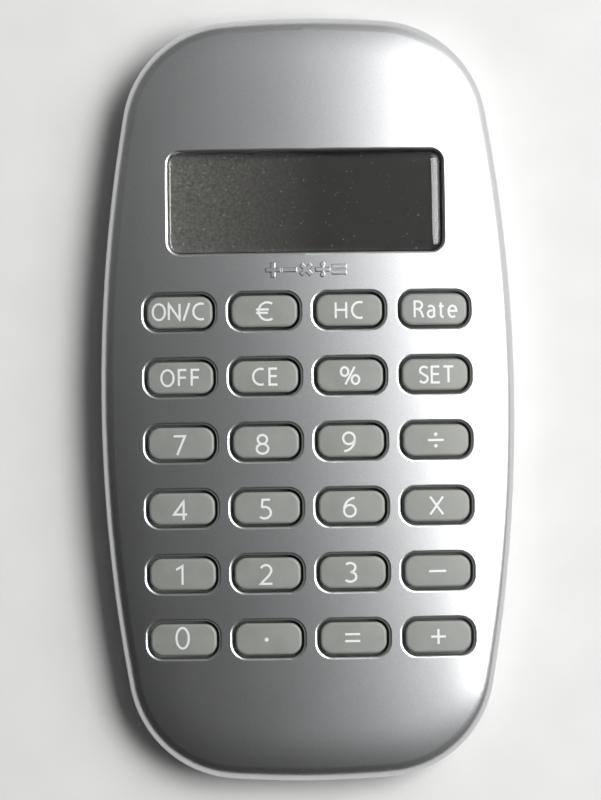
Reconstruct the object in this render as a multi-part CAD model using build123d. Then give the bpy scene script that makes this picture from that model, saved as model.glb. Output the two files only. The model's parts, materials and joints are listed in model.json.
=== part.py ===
"""Slim desk calculator, as an assembly of separate pieces.

Millimetres. +X is to the right of the keypad, +Y is towards the display end, +Z is out of the keys.
The origin is under the middle of the case, on the plane that the four feet stand on.
"""
from build123d import *
import math
import os

# ---------------------------------------------------------------- case outline and section
CASE_LENGTH = 125.0
CASE_WIDTH = 67.8
SIDE_RADIUS = 268.0
END_RADIUS = 176.0
CORNER_RADIUS = 18.2
CROWN_TOP = 10.6
CROWN_RADIUS_ACROSS = 267.0
CROWN_RADIUS_ALONG = 1100.0
EDGE_ROLL = 2.4
WALL = 1.4
FOOT_STAND = 0.6
REAR_FLOOR = 1.4
REAR_EDGE_ROLL = 2.6
PARTING_HEIGHT = 4.6
PARTING_GAP = 0.2
LIP_HEIGHT = 0.7
LIP_THICKNESS = 0.62
LIP_CLEARANCE = 0.08

# ---------------------------------------------------------------- keypad
KEY_PITCH_X = 13.83
KEY_PITCH_Y = 10.67
KEY_TOP_ROW_Y = 14.19
KEY_COLUMNS = 4
KEY_ROWS = 6
OPENING_WIDTH = 11.6
OPENING_DEPTH = 6.0
OPENING_CORNER = 2.35
OPENING_EDGE = 0.45
KEY_GAP = 0.43
KEY_CORNER = 1.95
KEY_DOME_RADIUS = 75.0
KEY_PROUD = 0.12
KEY_EDGE = 0.4
KEY_TRAVEL = 0.8
COLLAR_WALL = 0.8
COLLAR_FOOT_HEIGHT = 6.7
FLANGE_REACH = 0.45
FLANGE_BOTTOM = 6.0
FLANGE_THICKNESS = 0.6

# ---------------------------------------------------------------- display
WINDOW_Y = 32.1
WINDOW_WIDTH = 44.8
WINDOW_DEPTH = 16.6
WINDOW_CORNER = 2.0
WINDOW_GAP = 0.2
WINDOW_SUNK = 0.2
WINDOW_ROLL = 1.5
WINDOW_COLLAR = 1.6
WINDOW_COLLAR_FOOT = 7.0
ADHESIVE = 0.15
WINDOW_FLANGE = 0.6
GASKET = 0.25

SIGN_Y = 20.9
SIGN_SIZE = 2.2
SIGN_STROKE = 0.5
SIGN_SPACING = 2.7
SIGN_RAISE = 0.25

PANEL_HALF_WIDTH = 25.2
PANEL_LOW_Y = 20.6
PANEL_HIGH_Y = 41.6
LEDGE_Y = 23.6
GLASS = 0.55
POLARISER = 0.2
ZEBRA_Y = 22.1
ZEBRA_HALF = 23.8

# ---------------------------------------------------------------- board and stack heights
BOARD_BOTTOM = 3.2
BOARD_THICKNESS = 1.0
BOARD_INSET = 2.4
BOARD_END_LOW = -48.5
BOARD_END_HIGH = 47.5
MEMBRANE_SHEET = 0.6
MEMBRANE_WIDTH = 55.4
MEMBRANE_LOW_Y = -45.7
MEMBRANE_HIGH_Y = 18.9
DOME_TOP = 5.95
DOME_FOOT_RADIUS = 2.5
DOME_TOP_RADIUS = 1.9
DOME_BAND = 0.35
HOLLOW_FOOT_RADIUS = 2.15
HOLLOW_TOP_RADIUS = 1.45
PILL_TOP = 5.4
PILL_RADIUS = 1.25
PAD_RADIUS = 1.9
PAD_GAP = 0.3
PAD_THICKNESS = 0.04

# ---------------------------------------------------------------- battery
CELL_DIAMETER = 11.6
CELL_HEIGHT = 3.05
CELL_Y = 51.3
CELL_BOTTOM = 3.3
DOOR_RADIUS = 7.4
DOOR_TURN = 55.0
HUB_RADIUS = 6.5
SHOULDER_BOTTOM = 1.65
SEAT_TOP = 2.45
SEAT_RADIUS = 9.8
LUG_BOTTOM = 2.55
LUG_TOP = 3.15
LUG_REACH = 8.2
LUG_WIDTH = 26.0
LUG_START = 90.0
STOP_ANGLE = 16.5
HOLDER_TOP = 7.3
HOLDER_PIN_SPOTS = [(6.6, CELL_Y + 6.4), (-6.6, CELL_Y + 6.4)]
PIN_RADIUS = 0.55
PIN_LENGTH = 0.9
CONTACT_SHEET = 0.2
CONTACT_HIGH = 6.6
CONTACT_LOW = 6.0

# ---------------------------------------------------------------- fasteners and feet
CASE_SCREW_SPOTS = [
    (20.5, 52.3), (-20.5, 52.3),
    (29.3, -1.81), (-29.3, -1.81),
    (20.5, -52.3), (-20.5, -52.3),
]
BOARD_SCREW_SPOTS = [
    (19.0, 45.3), (-19.0, 45.3),
    (KEY_PITCH_X, 8.86), (-KEY_PITCH_X, 8.86),
    (KEY_PITCH_X, -33.84), (-KEY_PITCH_X, -33.84),
]
CASE_SCREW_RADIUS = 0.9
CASE_SCREW_HEAD_RADIUS = 1.6
CASE_SCREW_HEAD_HEIGHT = 0.9
CASE_SCREW_SEAT = 1.9
CASE_SCREW_TIP = 6.6
BOARD_SCREW_RADIUS = 0.7
BOARD_SCREW_HEAD_RADIUS = 1.4
BOARD_SCREW_HEAD_HEIGHT = 0.7
BOARD_SCREW_TIP = 6.4
BORE_SPARE_DEPTH = 0.2
BOSS_RADIUS = 2.2
REAR_BOSS_RADIUS = 2.5
BOARD_BOSS_RADIUS = 1.5
BOARD_SUPPORT_RADIUS = 1.0
BOSS_CUTOUT_RADIUS = 3.0
SCREW_CLEARANCE = 0.02
FOOT_SPOTS = {
    "foot_front_left": (-21.5, -42.0),
    "foot_front_right": (21.5, -42.0),
    "foot_back_left": (-21.5, 42.0),
    "foot_back_right": (21.5, 42.0),
}
FOOT_RADIUS = 3.5
FOOT_RECESS = 0.4

# ---------------------------------------------------------------- heights worked out from the above
REAR_BOTTOM = FOOT_STAND
REAR_INSIDE = REAR_BOTTOM + REAR_FLOOR
FRONT_BOTTOM = PARTING_HEIGHT + PARTING_GAP
BOARD_TOP = BOARD_BOTTOM + BOARD_THICKNESS
MEMBRANE_TOP = BOARD_TOP + MEMBRANE_SHEET
WINDOW_FLANGE_TOP = WINDOW_COLLAR_FOOT - ADHESIVE
WINDOW_FLANGE_BOTTOM = WINDOW_FLANGE_TOP - WINDOW_FLANGE
PANEL_TOP = WINDOW_FLANGE_BOTTOM - GASKET
CELL_TOP = CELL_BOTTOM + CELL_HEIGHT
PILL_BOTTOM = BOARD_TOP + 0.05 + KEY_TRAVEL
HIGH = CROWN_TOP + 3.0

KEY_NAMES = [
    ["key_on_clear", "key_euro", "key_home_currency", "key_rate"],
    ["key_off", "key_clear_entry", "key_percent", "key_set"],
    ["key_7", "key_8", "key_9", "key_divide"],
    ["key_4", "key_5", "key_6", "key_multiply"],
    ["key_1", "key_2", "key_3", "key_minus"],
    ["key_0", "key_point", "key_equals", "key_plus"],
]


# ================================================================ shared shapes
def key_spot(row, column):
    """Centre of a key in plan."""
    x = (column - (KEY_COLUMNS - 1) / 2) * KEY_PITCH_X
    y = KEY_TOP_ROW_Y - row * KEY_PITCH_Y
    return x, y


def key_spots():
    """Centres of all the keys, row by row."""
    return [key_spot(row, column) for row in range(KEY_ROWS) for column in range(KEY_COLUMNS)]


def corner_centre():
    """Centre of the corner arc that lies inside and touches both the side arc and the end arc."""
    side_x = CASE_WIDTH / 2 - SIDE_RADIUS
    end_y = CASE_LENGTH / 2 - END_RADIUS
    reach_side = SIDE_RADIUS - CORNER_RADIUS
    reach_end = END_RADIUS - CORNER_RADIUS
    span = math.hypot(side_x, end_y)
    along = (reach_side**2 - reach_end**2 + span**2) / (2 * span)
    off = math.sqrt(reach_side**2 - along**2)
    ux = -side_x / span
    uy = end_y / span
    return side_x + along * ux - off * uy, along * uy + off * ux


def case_face(inset):
    """The case's barrelled outline, moved in by inset, as a face at height zero."""
    cx, cy = corner_centre()
    side_x = CASE_WIDTH / 2 - SIDE_RADIUS
    end_y = CASE_LENGTH / 2 - END_RADIUS
    side_angle = math.atan2(cy, cx - side_x)
    end_angle = math.atan2(cy - end_y, cx)
    middle = (side_angle + end_angle) / 2
    radius = CORNER_RADIUS - inset

    def corner_point(angle, flip_x, flip_y):
        return flip_x * (cx + radius * math.cos(angle)), flip_y * (cy + radius * math.sin(angle))

    def corner(flip_x, flip_y):
        ends = [corner_point(angle, flip_x, flip_y) for angle in (side_angle, middle, end_angle)]
        return ThreePointArc(*ends)

    half_width = CASE_WIDTH / 2 - inset
    half_length = CASE_LENGTH / 2 - inset
    arcs = [corner(1, 1), corner(-1, 1), corner(-1, -1), corner(1, -1)]
    for flip in (1, -1):
        arcs.append(ThreePointArc(corner_point(side_angle, flip, -1), (flip * half_width, 0),
                                  corner_point(side_angle, flip, 1)))
        arcs.append(ThreePointArc(corner_point(end_angle, -1, flip), (0, flip * half_length),
                                  corner_point(end_angle, 1, flip)))
    return make_face(Curve() + arcs)


def slab(face, bottom, top):
    """A face at height zero, made into a plate from bottom to top."""
    return extrude(Pos(0, 0, bottom) * face, top - bottom)


def block(x0, x1, y0, y1, z0, z1):
    """A box between two corners."""
    return Pos((x0 + x1) / 2, (y0 + y1) / 2, (z0 + z1) / 2) * Box(x1 - x0, y1 - y0, z1 - z0)


def rounded(width, depth, corner, x=0.0, y=0.0):
    """A rounded rectangle in plan."""
    return Pos(x, y) * RectangleRounded(width, depth, corner)


def post(x, y, radius, bottom, top):
    """An upright round post or hole."""
    return Pos(x, y, (bottom + top) / 2) * Cylinder(radius, top - bottom)


def crown_body(drop):
    """Everything under the case's crowned top, moved down along its normal by drop."""
    across = CROWN_RADIUS_ACROSS - drop
    reach = CASE_WIDTH * 0.62
    shoulder = math.sqrt(across**2 - reach**2) - CROWN_RADIUS_ACROSS + CROWN_TOP
    top_arc = ThreePointArc((-reach, 0, shoulder), (0, 0, CROWN_TOP - drop), (reach, 0, shoulder))
    walls = Polyline((reach, 0, shoulder), (reach, 0, -HIGH), (-reach, 0, -HIGH), (-reach, 0, shoulder))
    section = make_face(Curve() + [top_arc, walls])
    swing = 8.0
    axis = Axis((0, 0, CROWN_TOP - CROWN_RADIUS_ALONG), (1, 0, 0))
    return revolve(section.rotate(axis, -swing / 2), axis, swing)


def crown_height(x, y, drop=0.0):
    """Height of the crowned top over a point in plan."""
    across = math.sqrt((CROWN_RADIUS_ACROSS - drop)**2 - x**2)
    arm = CROWN_RADIUS_ALONG - CROWN_RADIUS_ACROSS + across
    return CROWN_TOP - CROWN_RADIUS_ALONG + math.sqrt(arm**2 - y**2)


def crown_normal(x, y):
    """Outward direction of the crowned top over a point in plan."""
    step = 0.01
    slope_x = (crown_height(x + step, y) - crown_height(x - step, y)) / (2 * step)
    slope_y = (crown_height(x, y + step) - crown_height(x, y - step)) / (2 * step)
    return Vector(-slope_x, -slope_y, 1).normalized()


def group(solids):
    """Several separate solids as one piece."""
    return Compound(children=[solid for shape in solids for solid in shape.solids()])


# ================================================================ covers
def opening_faces():
    """Plan of every key opening, and of the window opening."""
    faces = [rounded(OPENING_WIDTH, OPENING_DEPTH, OPENING_CORNER, x, y) for x, y in key_spots()]
    return faces + [rounded(WINDOW_WIDTH, WINDOW_DEPTH, WINDOW_CORNER, 0, WINDOW_Y)]


def top_edges(body, drop=0.0):
    """Edges of a body that lie along the crowned top, moved down by drop."""
    found = []
    for edge in body.edges():
        spot = edge @ 0.5
        if abs(spot.Z - crown_height(spot.X, spot.Y, drop)) < 0.02:
            found.append(edge)
    return found


def opening_rims(half):
    """Upper edges of the openings in the right-hand half of the cover."""
    reach = KEY_PITCH_X * 2
    window_top = WINDOW_Y + WINDOW_DEPTH / 2 + 1
    keys_bottom = KEY_TOP_ROW_Y - KEY_PITCH_Y * (KEY_ROWS - 0.5)
    found = []
    for edge in top_edges(half):
        spot = edge @ 0.5
        if 0.01 < spot.X < reach and keys_bottom < spot.Y < window_top:
            found.append(edge)
    return found


def raised_signs():
    """Five small arithmetic signs in a row, standing just out of the cover below the window."""
    bar = Rectangle(SIGN_SIZE, SIGN_STROKE)
    upright = Rectangle(SIGN_STROKE, SIGN_SIZE)
    dot = Circle(SIGN_STROKE * 0.6)
    plus = Sketch() + bar + upright
    times = Rot(0, 0, 45) * plus
    divide = Sketch() + bar + Pos(0, SIGN_SIZE * 0.38) * dot + Pos(0, -SIGN_SIZE * 0.38) * dot
    equals = Sketch() + Pos(0, SIGN_SIZE * 0.22) * bar + Pos(0, -SIGN_SIZE * 0.22) * bar
    signs = Sketch()
    for place, sign in enumerate([plus, bar, times, divide, equals]):
        signs += Pos((place - 2) * SIGN_SPACING, SIGN_Y) * sign
    return slab(signs, crown_height(0, SIGN_Y) - WALL / 2, HIGH) & crown_body(-SIGN_RAISE)


def crowned_half(inset, bottom):
    """Right-hand half of the case under its crowned top, moved in by inset, with the top edge rolled."""
    right = block(0, CASE_WIDTH, -CASE_LENGTH, CASE_LENGTH, 0, 2 * HIGH)
    half = slab(case_face(inset), bottom, HIGH) & right & crown_body(inset)
    edge = [spot for spot in top_edges(half, inset) if (spot @ 0.5).X > 0.01]
    return fillet(edge, EDGE_ROLL - inset)


def cover_cavity_half(case_spots, board_spots, pin_spots):
    """Right-hand half of the space inside the front cover, less its collars, bosses and pins."""
    cavity = crowned_half(WALL, 0)
    window_collar = rounded(WINDOW_WIDTH + 2 * WINDOW_COLLAR, WINDOW_DEPTH + 2 * WINDOW_COLLAR,
                            WINDOW_CORNER + WINDOW_COLLAR, 0, WINDOW_Y)
    cavity = cavity - slab(window_collar, WINDOW_COLLAR_FOOT, HIGH)
    collars = [rounded(OPENING_WIDTH + 2 * COLLAR_WALL, OPENING_DEPTH + 2 * COLLAR_WALL,
                       OPENING_CORNER + COLLAR_WALL, x, y) for x, y in key_spots() if x > 0]
    cavity = cavity - [slab(face, COLLAR_FOOT_HEIGHT, HIGH) for face in collars]
    cavity = cavity - [post(x, y, BOSS_RADIUS, FRONT_BOTTOM, HIGH) for x, y in case_spots]
    cavity = cavity - [post(x, y, BOARD_BOSS_RADIUS, BOARD_TOP, HIGH) for x, y in board_spots]
    cavity = cavity - [post(x, y, PIN_RADIUS * 2, HOLDER_TOP, HIGH) for x, y in pin_spots]
    return cavity - [post(x, y, PIN_RADIUS, HOLDER_TOP - PIN_LENGTH, HIGH) for x, y in pin_spots]


def make_front_cover():
    """Crowned front moulding with its openings, key collars, window collar and screw bosses."""
    case_spots = [spot for spot in CASE_SCREW_SPOTS if spot[0] > 0]
    board_spots = [spot for spot in BOARD_SCREW_SPOTS if spot[0] > 0]
    pin_spots = [spot for spot in HOLDER_PIN_SPOTS if spot[0] > 0]
    outside = crowned_half(0, FRONT_BOTTOM) - [slab(face, 0, HIGH) for face in opening_faces()]
    outside = fillet(opening_rims(outside), OPENING_EDGE)
    cover = outside - cover_cavity_half(case_spots, board_spots, pin_spots)

    rebate_top = FRONT_BOTTOM + LIP_HEIGHT
    rebate = slab(case_face(WALL / 2), 0, rebate_top)
    cover = cover - (rebate - [post(x, y, BOSS_RADIUS, FRONT_BOTTOM, HIGH) for x, y in case_spots])
    cover = cover + [post(x, y, BOARD_BOSS_RADIUS, BOARD_TOP, rebate_top + 0.1) for x, y in board_spots]
    case_bore = CASE_SCREW_RADIUS + SCREW_CLEARANCE
    board_bore = BOARD_SCREW_RADIUS + SCREW_CLEARANCE
    bores = [post(x, y, case_bore, 0, CASE_SCREW_TIP + BORE_SPARE_DEPTH) for x, y in case_spots]
    bores += [post(x, y, board_bore, 0, BOARD_SCREW_TIP + BORE_SPARE_DEPTH) for x, y in board_spots]
    cover = cover - bores
    return cover + mirror(cover, Plane.YZ) + raised_signs()


def make_rear_cover():
    """Flat rear moulding with its lip, screw bosses, board supports, foot recesses and battery seat."""
    outside = slab(case_face(0), REAR_BOTTOM, PARTING_HEIGHT)
    outside = fillet(outside.faces().sort_by(Axis.Z)[0].edges(), REAR_EDGE_ROLL)
    inside = slab(case_face(WALL), REAR_INSIDE, HIGH)
    inside = fillet(inside.faces().sort_by(Axis.Z)[0].edges(), REAR_EDGE_ROLL - WALL)
    cover = outside - inside
    lip_outer = case_face(WALL / 2 + LIP_CLEARANCE)
    lip_inner = case_face(WALL / 2 + LIP_CLEARANCE + LIP_THICKNESS)
    lip_top = FRONT_BOTTOM + LIP_HEIGHT - LIP_CLEARANCE
    cover += slab(lip_outer - lip_inner, PARTING_HEIGHT - 0.5, lip_top)

    for x, y in CASE_SCREW_SPOTS:
        boss = post(x, y, REAR_BOSS_RADIUS, REAR_INSIDE - 0.2, FRONT_BOTTOM - 0.05)
        cover += boss & slab(case_face(0.8), 0, HIGH)
    for x, y in board_support_spots():
        cover += post(x, y, BOARD_SUPPORT_RADIUS, REAR_INSIDE - 0.2, BOARD_BOTTOM)
    cover += post(0, CELL_Y, SEAT_RADIUS, REAR_INSIDE - 0.2, SEAT_TOP)
    for angle in (-STOP_ANGLE, DOOR_TURN + STOP_ANGLE):
        stop = block(7.0, 8.2, -0.22, 0.22, SEAT_TOP - 0.1, LUG_TOP)
        cover += Pos(0, CELL_Y) * Rot(0, 0, LUG_START + angle) * stop

    for x, y in CASE_SCREW_SPOTS:
        cover -= post(x, y, CASE_SCREW_HEAD_RADIUS + 0.15, 0, CASE_SCREW_SEAT)
        cover -= post(x, y, CASE_SCREW_RADIUS + 0.15, 0, HIGH)
    for x, y in FOOT_SPOTS.values():
        cover -= post(x, y, FOOT_RADIUS + 0.1, 0, REAR_BOTTOM + FOOT_RECESS)
    cover -= post(0, CELL_Y, DOOR_RADIUS + 0.15, 0, SHOULDER_BOTTOM)
    cover -= post(0, CELL_Y, HUB_RADIUS + 0.2, 0, HIGH)
    for turn in range(3):
        notch = sector(LUG_REACH + 0.2, LUG_WIDTH + 6, LUG_START + DOOR_TURN + 120 * turn)
        cover -= Pos(0, CELL_Y) * slab(notch, SHOULDER_BOTTOM - 0.1, SEAT_TOP + 0.1)
    return cover


def board_support_spots():
    """Short posts on the rear cover that back the board between the keys."""
    spots = [(0, KEY_TOP_ROW_Y - KEY_PITCH_Y * (row + 0.5)) for row in range(5)]
    for flip in (1, -1):
        spots += [(flip * KEY_PITCH_X, KEY_TOP_ROW_Y - KEY_PITCH_Y * (row + 0.5)) for row in (1, 2, 3)]
        spots += [(flip * 24.0, 26.0), (flip * 22.5, -46.0)]
    return spots


# ================================================================ battery
def sector(radius, width, direction):
    """A pie slice in plan, width degrees wide, about a direction."""
    steps = [direction - width / 2, direction, direction + width / 2]
    points = [(radius * math.cos(math.radians(a)), radius * math.sin(math.radians(a))) for a in steps]
    edges = [Line((0, 0), points[0]), ThreePointArc(*points), Line(points[2], (0, 0))]
    return make_face(Curve() + edges)


def make_battery_door():
    """Round door: a slotted disc, a cup that bears on the cell, and three bayonet lugs."""
    disc = post(0, 0, DOOR_RADIUS, REAR_BOTTOM + 0.05, SHOULDER_BOTTOM - 0.1)
    disc = fillet(disc.edges().group_by(Axis.Z)[0], 0.2)
    door = disc + post(0, 0, HUB_RADIUS, SHOULDER_BOTTOM - 0.2, CELL_BOTTOM - 0.1)
    door -= post(0, 0, HUB_RADIUS - 1.2, SHOULDER_BOTTOM + 0.4, HIGH)
    for turn in range(3):
        lug = sector(LUG_REACH, LUG_WIDTH, LUG_START + 120 * turn) - Circle(HUB_RADIUS - 0.3)
        door += slab(lug, LUG_BOTTOM, LUG_TOP)
    slot = rounded(9.0, 1.7, 0.8)
    door -= slab(slot, 0, REAR_BOTTOM + 0.75)
    return Pos(0, CELL_Y) * door


def make_battery_cell():
    """Button cell: a can with a smaller, raised cap on its upper side."""
    radius = CELL_DIAMETER / 2
    can = post(0, CELL_Y, radius, CELL_BOTTOM, CELL_TOP - 0.35)
    can = fillet(can.edges(), 0.3)
    cap = post(0, CELL_Y, radius - 1.1, CELL_TOP - 0.5, CELL_TOP)
    cap = fillet(cap.edges().group_by(Axis.Z)[-1], 0.2)
    return can + cap


def make_battery_holder():
    """Ring and roof that keep the cell in place, with slots for the two contacts and two ears."""
    radius = CELL_DIAMETER / 2
    bottom = CELL_BOTTOM + 0.1
    holder = post(0, CELL_Y, radius + 1.2, bottom, HOLDER_TOP)
    for x, y in HOLDER_PIN_SPOTS:
        holder += post(x, y, 2.4, HOLDER_TOP - 0.6, HOLDER_TOP)
    holder -= post(0, CELL_Y, radius + 0.15, 0, HOLDER_TOP - 0.45)
    ceiling = HOLDER_TOP - 0.45
    holder -= block(radius - 1, radius + 3, CELL_Y - 1.2, CELL_Y + 1.2, CONTACT_HIGH - 0.4, ceiling)
    holder -= block(-radius - 3, -radius + 1, CELL_Y - 1.7, CELL_Y + 1.7, 0, ceiling)
    for x, y in HOLDER_PIN_SPOTS:
        holder -= post(x, y, 0.6, 0, HIGH)
    return holder


def contact_leg(side, height):
    """The part of a contact that leads from the cell's side down to the board."""
    sheet = CONTACT_SHEET
    near, far = sorted([side * 9.0, side * 10.8])
    low_y = 45.4
    leg = block(near, far, low_y, CELL_Y + 1.0, height, height + sheet)
    leg += block(near, far, low_y, low_y + sheet, BOARD_TOP, height + sheet)
    leg += block(near, far, low_y - 1.2, low_y + sheet, BOARD_TOP, BOARD_TOP + sheet)
    return leg


def make_negative_contact():
    """Spring strip over the cell's cap, led down to the board."""
    sheet = CONTACT_SHEET
    low = CELL_TOP + 0.02
    pad = block(-2.4, 1.8, CELL_Y - 1.5, CELL_Y + 1.5, low, low + sheet)
    step = block(1.6, 1.8, CELL_Y - 1.0, CELL_Y + 1.0, low, CONTACT_HIGH + sheet)
    arm = block(1.6, 10.8, CELL_Y - 1.0, CELL_Y + 1.0, CONTACT_HIGH, CONTACT_HIGH + sheet)
    return pad + step + arm + contact_leg(1, CONTACT_HIGH)


def make_positive_contact():
    """Spring blade against the cell's can, led down to the board."""
    sheet = CONTACT_SHEET
    face = -CELL_DIAMETER / 2 - 0.02
    blade = block(face - sheet, face, CELL_Y - 1.4, CELL_Y + 1.4, CELL_BOTTOM + 0.4, CONTACT_LOW + sheet)
    arm = block(-10.8, face, CELL_Y - 1.0, CELL_Y + 1.0, CONTACT_LOW, CONTACT_LOW + sheet)
    return blade + arm + contact_leg(-1, CONTACT_LOW)


# ================================================================ display
def window_plate(width, depth, corner, bottom, top):
    """A rounded plate centred under the window opening."""
    return slab(rounded(width, depth, corner, 0, WINDOW_Y), bottom, top)


def make_display_window():
    """Clear panel: a flange behind the cover and a crowned face with rolled edges in the opening."""
    width = WINDOW_WIDTH - 2 * WINDOW_GAP
    depth = WINDOW_DEPTH - 2 * WINDOW_GAP
    face = window_plate(width, depth, WINDOW_CORNER - WINDOW_GAP, WINDOW_FLANGE_TOP - 0.1, HIGH)
    face = face & crown_body(WINDOW_SUNK)
    rim = top_edges(face, WINDOW_SUNK)
    face = fillet(rim, WINDOW_ROLL)
    flange = window_plate(WINDOW_WIDTH + 2 * WINDOW_COLLAR, WINDOW_DEPTH + 2 * WINDOW_COLLAR,
                          WINDOW_CORNER + WINDOW_COLLAR, WINDOW_FLANGE_BOTTOM, WINDOW_FLANGE_TOP)
    return face + flange


def make_window_adhesive():
    """Adhesive ring between the window's flange and the cover's collar."""
    outer = rounded(WINDOW_WIDTH + 2 * WINDOW_COLLAR, WINDOW_DEPTH + 2 * WINDOW_COLLAR,
                    WINDOW_CORNER + WINDOW_COLLAR, 0, WINDOW_Y)
    inner = rounded(WINDOW_WIDTH + 0.4, WINDOW_DEPTH + 0.4, WINDOW_CORNER + 0.2, 0, WINDOW_Y)
    return slab(outer - inner, WINDOW_FLANGE_TOP, WINDOW_COLLAR_FOOT)


def make_display_gasket():
    """Foam ring between the window and the display panel."""
    outer = rounded(WINDOW_WIDTH + 3.2, WINDOW_DEPTH + 3.0, 1.5, 0, WINDOW_Y)
    inner = rounded(WINDOW_WIDTH + 1.0, WINDOW_DEPTH + 1.0, 1.0, 0, WINDOW_Y)
    return slab(outer - inner, PANEL_TOP, WINDOW_FLANGE_BOTTOM)


def panel_layers():
    """The display panel's four layers, from the front one down."""
    half = PANEL_HALF_WIDTH
    top = PANEL_TOP
    front_glass_top = top - POLARISER
    rear_glass_top = front_glass_top - GLASS
    rear_polariser_top = rear_glass_top - GLASS
    return {
        "lcd_front_polariser": block(-half + 0.6, half - 0.6, LEDGE_Y - 1.4, PANEL_HIGH_Y - 0.3,
                                     front_glass_top, top),
        "lcd_front_glass": block(-half, half, PANEL_LOW_Y, PANEL_HIGH_Y, rear_glass_top, front_glass_top),
        "lcd_rear_glass": block(-half, half, LEDGE_Y, PANEL_HIGH_Y, rear_polariser_top, rear_glass_top),
        "lcd_rear_polariser": block(-half + 0.6, half - 0.6, LEDGE_Y + 0.4, PANEL_HIGH_Y - 0.4,
                                    rear_polariser_top - POLARISER, rear_polariser_top),
    }


def make_lcd_holder():
    """Frame on the board that carries the display panel and guides the zebra connector."""
    half = PANEL_HALF_WIDTH + 0.15
    shelf = BOARD_TOP + 0.3
    frame = block(-half - 1.5, half + 1.5, PANEL_LOW_Y - 1.0, PANEL_HIGH_Y + 1.2, BOARD_TOP, PANEL_TOP)
    frame -= block(-half, half, PANEL_LOW_Y - 0.15, PANEL_HIGH_Y + 0.15, shelf, HIGH)
    frame -= block(-half + 2.2, half - 2.2, LEDGE_Y + 1.2, PANEL_HIGH_Y - 1.4, 0, HIGH)
    frame -= block(-half + 1.2, half - 1.2, ZEBRA_Y - 1.05, ZEBRA_Y + 1.05, 0, HIGH)
    return frame


def make_zebra_connector():
    """Elastomer strip that joins the board to the ledge of the display's front glass."""
    top = PANEL_TOP - POLARISER - GLASS
    return block(-ZEBRA_HALF, ZEBRA_HALF, ZEBRA_Y - 0.95, ZEBRA_Y + 0.95, BOARD_TOP + 0.05, top)


def make_display_contact_pads():
    """Row of thin pads on the board, under the zebra connector."""
    count = 30
    pitch = 1.5
    top = BOARD_TOP + PAD_THICKNESS
    pads = []
    for place in range(count):
        x = (place - (count - 1) / 2) * pitch
        pads.append(block(x - 0.4, x + 0.4, ZEBRA_Y - 0.9, ZEBRA_Y + 0.9, BOARD_TOP, top))
    return group(pads)


# ================================================================ board and keypad
def make_circuit_board():
    """Board that follows the case's sides, cut away round the battery and the case screws."""
    board = slab(case_face(BOARD_INSET), BOARD_BOTTOM, BOARD_TOP)
    board = board & block(-CASE_WIDTH, CASE_WIDTH, BOARD_END_LOW, BOARD_END_HIGH, 0, HIGH)
    board -= post(0, CELL_Y, SEAT_RADIUS - 0.5, 0, HIGH)
    for x, y in CASE_SCREW_SPOTS:
        board -= post(x, y, BOSS_CUTOUT_RADIUS, 0, HIGH)
    for x, y in BOARD_SCREW_SPOTS:
        board -= post(x, y, BOARD_SCREW_RADIUS + 0.2, 0, HIGH)
    return board


def make_key_contact_pads():
    """A pair of half-round pads on the board under every key."""
    pads = []
    disc = Circle(PAD_RADIUS) - Rectangle(3 * PAD_RADIUS, PAD_GAP)
    pair = slab(disc, BOARD_TOP, BOARD_TOP + PAD_THICKNESS)
    for x, y in key_spots():
        pads.append(Pos(x, y) * pair)
    return group(pads)


def make_processor_blob():
    """Epoxy drop over the processor, on the back of the board."""
    radius = 5.0
    height = 0.9
    ball = (radius**2 + height**2) / (2 * height)
    drop = Pos(0, 33.0, BOARD_BOTTOM - height + ball) * Sphere(ball)
    return drop & post(0, 33.0, radius + 1, 0, BOARD_BOTTOM)


def make_chip_capacitors():
    """Small chip parts on the back of the board."""
    spots = [(-10.5, 36.0), (-10.5, 33.0), (-10.5, 30.0), (10.5, 35.0), (10.5, 31.5)]
    chips = [block(x - 0.8, x + 0.8, y - 0.4, y + 0.4, BOARD_BOTTOM - 0.7, BOARD_BOTTOM) for x, y in spots]
    return group(chips)


def make_keypad_membrane():
    """Rubber sheet on the board with a hollow dome under every key."""
    length = MEMBRANE_HIGH_Y - MEMBRANE_LOW_Y
    outline = rounded(MEMBRANE_WIDTH, length, 2.0, 0, MEMBRANE_LOW_Y + length / 2)
    sheet = slab(outline, BOARD_TOP + 0.06, MEMBRANE_TOP)
    shoulder = DOME_TOP - DOME_BAND
    foot = MEMBRANE_TOP - 0.1
    dome = Pos(0, 0, (foot + shoulder) / 2) * Cone(DOME_FOOT_RADIUS, DOME_TOP_RADIUS, shoulder - foot)
    dome += post(0, 0, DOME_TOP_RADIUS, shoulder, DOME_TOP)
    hollow = Cone(HOLLOW_FOOT_RADIUS, HOLLOW_TOP_RADIUS, PILL_TOP - BOARD_TOP)
    hollow = Pos(0, 0, (BOARD_TOP + PILL_TOP) / 2) * hollow
    sheet += [Pos(x, y) * dome for x, y in key_spots()]
    for x, y in key_spots():
        sheet -= Pos(x, y) * hollow
    for x, y in CASE_SCREW_SPOTS:
        sheet -= post(x, y, BOSS_CUTOUT_RADIUS, 0, HIGH)
    for x, y in BOARD_SCREW_SPOTS:
        sheet -= post(x, y, BOARD_BOSS_RADIUS + 0.2, 0, HIGH)
    return sheet


def make_contact_pills():
    """A conductive pill under the roof of every dome."""
    return group([post(x, y, PILL_RADIUS, PILL_BOTTOM, PILL_TOP) for x, y in key_spots()])


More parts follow.
